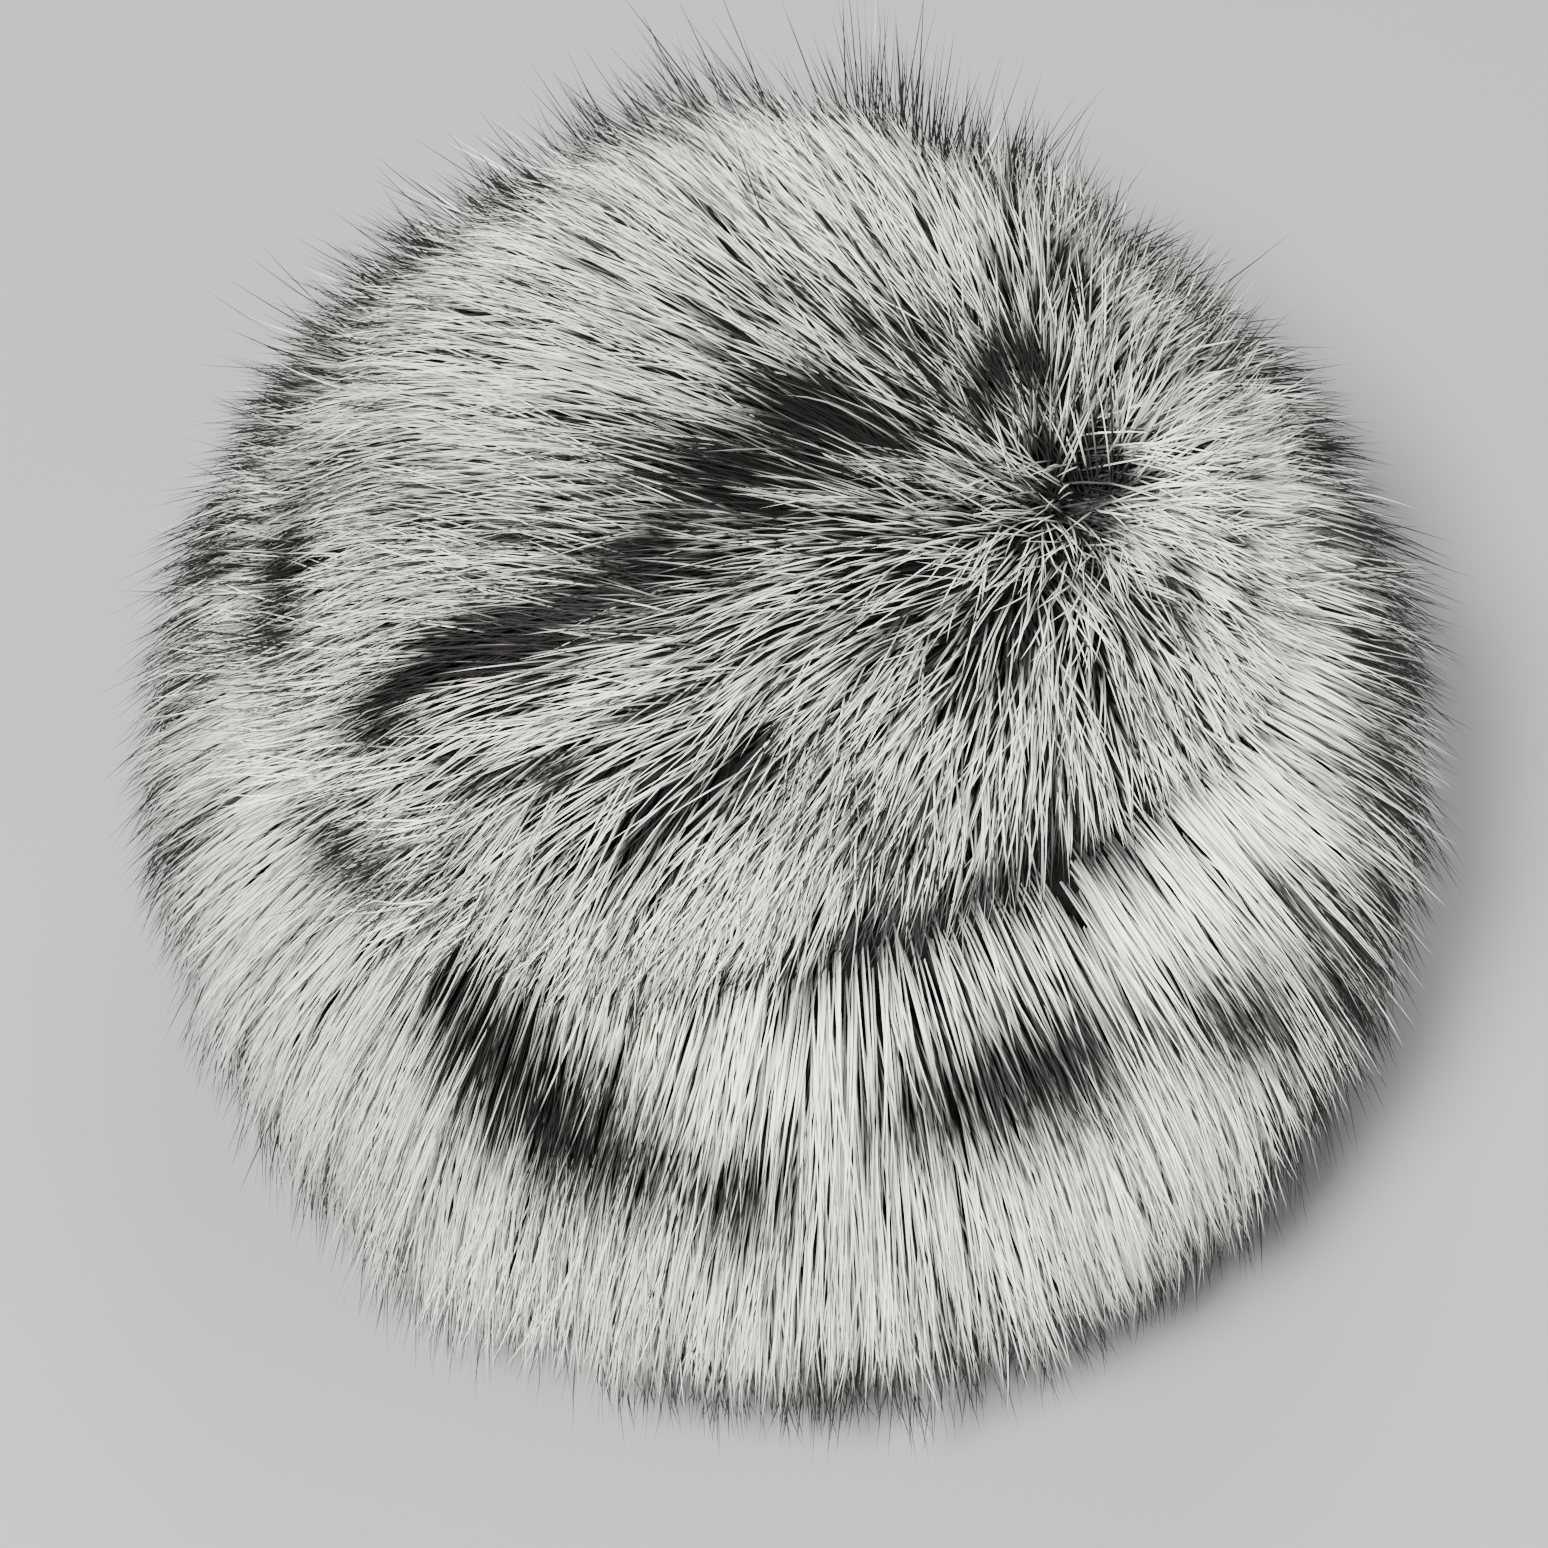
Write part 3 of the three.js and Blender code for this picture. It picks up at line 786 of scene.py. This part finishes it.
def grow(name, points, values, coat, width):
    """One hair piece from roots, knees and tips in millimetres."""
    root, knee, tip = (spot * MM for spot in points)
    total = len(root)
    mesh = bpy.data.meshes.new(name + "_roots")
    mesh.vertices.add(total)
    mesh.vertices.foreach_set("co", root.astype(np.float32).ravel())
    grid = math.ceil(math.sqrt(total))
    cells = np.arange(total)
    corner = (np.stack([cells % grid, cells // grid, 0 * cells], 1) + CELL_EDGE) / grid
    given = {"root": root, "knee": knee, "tip": tip, "over": tip - MIDDLE * MM, "cell_corner": corner}
    for key, spot in given.items():
        put(mesh, key, "FLOAT_VECTOR", spot)
    for key, value in values.items():
        put(mesh, key, "FLOAT", value)
    sown = add_object(name + "_roots", mesh)
    strand = strand_template()
    tree = hair_tree()
    growth = sown.modifiers.new("Grow hair", "NODES")
    growth.node_group = tree
    inputs = {"Strand": strand, "Width": width, "Cell": (1 - 2 * CELL_EDGE) / grid, "Coat": coat}
    for item in tree.interface.items_tree:
        if item.name in inputs:
            growth[item.identifier] = inputs[item.name]
    graph = bpy.context.evaluated_depsgraph_get()
    grown = bpy.data.meshes.new_from_object(sown.evaluated_get(graph))
    sown.modifiers.remove(growth)
    expected = total * len(strand.data.polygons)
    for spare in (sown, strand):
        bpy.data.objects.remove(spare)
    for key in (*given, *values, "along", "around", "cell_place"):
        layer = grown.attributes.get(key)
        if layer:
            grown.attributes.remove(layer)
    if len(grown.polygons) != expected:
        raise RuntimeError(f"{name}: {len(grown.polygons)} faces where {expected} were expected")
    grown.name = name
    return add_object(name, grown)


def principled(name):
    material = bpy.data.materials.new(name)
    material.use_nodes = True
    tree = material.node_tree
    return material, Wire(tree).node, tree.nodes["Principled BSDF"].inputs


def hair_coat(name, colours):
    """Hair between dark and light, by the share worked out along every strand."""
    material, new, shader = principled(name)
    pale = new("ShaderNodeAttribute", {"attribute_name": "pale"}, None, "Fac")
    pale.tint(colours.dark, colours.light).feed(shader["Base Color"])
    shader["Roughness"].default_value = HAIR_FINISH["roughness"]
    shader["Specular IOR Level"].default_value = HAIR_FINISH["specular"]
    return material


def underfur_coat(colours):
    """Dense dark wool, made near black as painted shade where it shows between hairs."""
    material, new, shader = principled("underfur")
    place = new("ShaderNodeTexCoord", None, None, "Object")
    wool = new("ShaderNodeTexNoise", None, {
        "Vector": place, "Scale": WOOL["scale"], "Detail": WOOL["detail"],
        "Roughness": WOOL["noise_roughness"]})
    patch = new("ShaderNodeTexNoise", None, {
        "Vector": place, "Scale": WOOL["patch_scale"], "Detail": WOOL["patch_detail"]})
    share = wool.smooth(WOOL["low"], WOOL["high"]) * (WOOL["patch_base"] + WOOL["patch_share"] * patch)
    pale = tuple(WOOL["pale"] * value for value in colours.under)
    share.tint(colours.under, pale).feed(shader["Base Color"])
    bump = new("ShaderNodeBump", None, {
        "Height": wool, "Strength": WOOL["bump"], "Distance": WOOL["bump_depth"]})
    bump.feed(shader["Normal"])
    shader["Roughness"].default_value = WOOL["roughness"]
    shader["Specular IOR Level"].default_value = WOOL["specular"]
    return material


def suede_coat(colours):
    """Bare skin side: napped, with soft patches."""
    material, new, shader = principled("suede")
    place = new("ShaderNodeTexCoord", None, None, "Object")
    nap = new("ShaderNodeTexNoise", None, {
        "Vector": place, "Scale": SUEDE["scale"], "Detail": SUEDE["detail"],
        "Roughness": SUEDE["noise_roughness"]})
    patch = new("ShaderNodeTexNoise", None, {
        "Vector": place, "Scale": SUEDE["patch_scale"], "Detail": SUEDE["patch_detail"]})
    share = nap * SUEDE["nap_share"] + patch.smooth(SUEDE["low"], SUEDE["high"]) * SUEDE["patch_share"]
    worn = tuple(SUEDE["worn"] * value for value in colours.suede)
    share.tint(worn, colours.suede).feed(shader["Base Color"])
    bump = new("ShaderNodeBump", None, {
        "Height": nap, "Strength": SUEDE["bump"], "Distance": SUEDE["bump_depth"]})
    bump.feed(shader["Normal"])
    (SUEDE["roughness"] - SUEDE["nap_gloss"] * nap).feed(shader["Roughness"])
    return material


def turned_shell(name, outside, inside, draw):
    """A closed ring or cap turned from a lumpy outside and a plain inside, rows of radius and height.

    A row at no radius is a pole; an outside and an inside without poles close on each other as a ring.
    """
    steps = UNDERFUR["steps"]
    bearing = TAU * np.arange(steps) / steps
    circle = UNDERFUR["girth"] * np.stack([np.cos(bearing), np.sin(bearing)], 1)
    points, faces, rings = [], [], []
    for index, (radius, height) in enumerate([*outside, *inside]):
        lumps = UNDERFUR["lumps"] if index < len(outside) else 0
        lumpy = radius * (1 + lumps * drift(circle + index, UNDERFUR["lump_size"], draw))
        ring = on_oval(lumpy, bearing, np.full(steps, height)) * MM
        count = steps if radius > 0 else 1
        rings.append(len(points) + np.arange(steps) % count)
        points += ring[:count].tolist()
    for index, upper in enumerate(rings):
        lower = rings[(index + 1) % len(rings)]
        for step in range(steps):
            after = (step + 1) % steps
            corners = dict.fromkeys((upper[step], lower[step], lower[after], upper[after]))
            if len(corners) > 2:
                faces.append([int(corner) for corner in corners])
    mesh = bpy.data.meshes.new(name)
    mesh.from_pydata(points, [], faces)
    mesh.shade_smooth()
    return add_object(name, mesh)


def ride(piece, node):
    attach(piece, "root")
    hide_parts(node)


def grow_sectors(context, coat, sectors, node, draw):
    """Grow a coat in sectors by bearing, each a piece of its own."""
    scene = context.scene
    values = coat_values(coat, scene.fur_hat_stage, draw)
    material = hair_coat(node + "_hair", scene.fur_hat_colours)
    root = coat.points[0]
    bearing = np.degrees(np.arctan2(root[:, 1], root[:, 0]))
    for name, start, end in sectors:
        chosen = (bearing - start) % FULL_TURN < end - start
        part = [spots[chosen] for spots in coat.points]
        some = {key: value[chosen] for key, value in values.items()}
        piece = grow(name, part, some, material, scene.fur_hat_hair.width)
        ride(piece, node)


class FURHAT_OT_stage(Operator):
    """Set the camera, the floor and the soft lights"""

    bl_idname = "fur_hat.stage"
    bl_label = "Stage"

    def execute(self, context):
        stage = context.scene.fur_hat_stage
        place, ahead, up = view_axes(stage)
        lens = bpy.data.cameras.new("camera")
        lens.sensor_width = SENSOR
        lens.lens = SENSOR * stage.distance / stage.span
        camera = add_object("camera", lens)
        turn = Matrix((np.cross(ahead, up), up, -ahead)).transposed().to_4x4()
        camera.matrix_world = Matrix.Translation(Vector(place * MM)) @ turn
        context.scene.camera = camera
        self.floor(context.scene.fur_hat_colours)
        self.lights(context)
        return {"FINISHED"}

    @staticmethod
    def floor(colours):
        mesh = bpy.data.meshes.new("floor")
        corners = [(-1, -1, 0), (1, -1, 0), (1, 1, 0), (-1, 1, 0)]
        mesh.from_pydata([FLOOR_REACH * Vector(corner) for corner in corners], [], [(0, 1, 2, 3)])
        floor = add_object("floor", mesh)
        material, _, shader = principled("floor")
        shader["Base Color"].default_value = (*colours.floor, 1)
        shader["Roughness"].default_value = FLOOR_ROUGHNESS
        floor.data.materials.append(material)

    @staticmethod
    def lights(context):
        for row in LIGHTS:
            lamp = bpy.data.lights.new(row["name"], "AREA")
            lamp.shape = "DISK"
            lamp.size = row["size"]
            lamp.energy = row["power"]
            light = add_object(row["name"], lamp)
            light.location = row["place"]
            towards = Vector(MIDDLE * MM) - light.location
            light.rotation_euler = towards.to_track_quat("-Z", "Y").to_euler()
        world = bpy.data.worlds.new("studio")
        world.use_nodes = True
        sky = world.node_tree.nodes["Background"].inputs
        sky["Color"].default_value = SKY["colour"]
        sky["Strength"].default_value = SKY["strength"]
        context.scene.world = world


class FURHAT_OT_skins(Operator):
    """Give the bare skins their suede"""

    bl_idname = "fur_hat.skins"
    bl_label = "Skins"

    def execute(self, context):
        suede = suede_coat(context.scene.fur_hat_colours)
        for node in ("band_hide", "crown_hide"):
            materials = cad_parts[node].data.materials
            materials.clear()
            materials.append(suede)
        return {"FINISHED"}


class FURHAT_OT_underfur(Operator):
    """Lay the dark underfur round the skins"""

    bl_idname = "fur_hat.underfur"
    bl_label = "Underfur"

    def execute(self, context):
        draw = np.random.default_rng(SEEDS["underfur"])
        wool = underfur_coat(context.scene.fur_hat_colours)
        crown = turned_shell("crown_underfur", *self.crown_rows(), draw)
        band = turned_shell("band_underfur", *self.band_rows(), draw)
        for piece, node in ((crown, "crown_fur"), (band, "band_fur")):
            piece.data.materials.append(wool)
            ride(piece, node)
        return {"FINISHED"}

    @staticmethod
    def sunk(lay, end):
        """Rows of a lay sunk to the underfur's depth, down to a distance along it."""
        arc = np.linspace(0, end, UNDERFUR["rows"])
        radius, height = Meridian(lay).profile(arc, -UNDERFUR["depth"])
        return np.stack([radius, height], 1)

    def crown_rows(self):
        """Outside from the top down, then the inside over the crown skin back to its top."""
        outside = self.sunk(CROWN_LAY, UNDERFUR["crown_end"])
        outside[0, 0] = 0
        outside = outside[outside[:, 1] > SEAM_HEIGHT + UNDERFUR["crown_lift"]]
        out = UNDERFUR["clear"]
        inside = [
            (radius * (1 + out / SEAM_RADIUS), CROWN_LOW[2] + height * (1 + out / CROWN_RISE) + out)
            for radius, height in reversed(CROWN_SKIN)
        ]
        return outside, inside

    def band_rows(self):
        """Outside from the top down, then the inside up the band skin."""
        outside = self.sunk(BAND_LAY, Meridian(BAND_LAY).arc[-1])
        radius, height = outside.T
        clear = (radius > RIM_RADIUS + UNDERFUR["wall"]) & (height > UNDERFUR["foot"])
        clear &= height < UNDERFUR["band_top"]
        inside = [
            (RIM_RADIUS + UNDERFUR["clear"], UNDERFUR["foot"]),
            (SEAM_RADIUS + UNDERFUR["clear"], SEAM_HEIGHT),
        ]
        return outside[clear], inside


class FURHAT_OT_crown_hair(Operator):
    """Grow the crown's hair away from its whorl"""

    bl_idname = "fur_hat.crown_hair"
    bl_label = "Crown hair"

    def execute(self, context):
        draw = np.random.default_rng(SEEDS["crown_hair"])
        coat = crown_coat(context.scene.fur_hat_hair, draw)
        grow_sectors(context, coat, CROWN_SECTORS, "crown_fur", draw)
        return {"FINISHED"}


class FURHAT_OT_band_hair(Operator):
    """Grow the band's hair outward and down"""

    bl_idname = "fur_hat.band_hair"
    bl_label = "Band hair"

    def execute(self, context):
        draw = np.random.default_rng(SEEDS["band_hair"])
        coat = band_coat(context.scene.fur_hat_hair, draw)
        grow_sectors(context, coat, BAND_SECTORS, "band_fur", draw)
        return {"FINISHED"}


class FURHAT_PT_panel(Panel):
    """Lists the steps and sizes of the fur hat"""

    bl_idname = "FURHAT_PT_panel"
    bl_label = "Fur Hat"
    bl_space_type = "VIEW_3D"
    bl_region_type = "UI"
    bl_category = "Fur Hat"

    def draw(self, context):
        layout = self.layout
        for operator in OPERATORS:
            layout.operator(operator.bl_idname)
        for name, settings in SETTINGS.items():
            box = layout.box()
            for key in settings.__annotations__:
                box.prop(getattr(context.scene, name), key)


SETTINGS = {
    "fur_hat_hair": HairSettings,
    "fur_hat_colours": ColourSettings,
    "fur_hat_stage": StageSettings,
}
OPERATORS = (
    FURHAT_OT_stage, FURHAT_OT_skins, FURHAT_OT_underfur, FURHAT_OT_crown_hair, FURHAT_OT_band_hair,
)
CLASSES = (*SETTINGS.values(), *OPERATORS, FURHAT_PT_panel)


def register():
    for item in CLASSES:
        bpy.utils.register_class(item)
    for name, settings in SETTINGS.items():
        setattr(bpy.types.Scene, name, PointerProperty(type=settings))


def unregister():
    for name in SETTINGS:
        delattr(bpy.types.Scene, name)
    for item in reversed(CLASSES):
        bpy.utils.unregister_class(item)


def main():
    register()
    bpy.ops.fur_hat.stage()
    bpy.ops.fur_hat.skins()
    bpy.ops.fur_hat.underfur()
    bpy.ops.fur_hat.crown_hair()
    bpy.ops.fur_hat.band_hair()


if __name__ == "__main__":
    main()
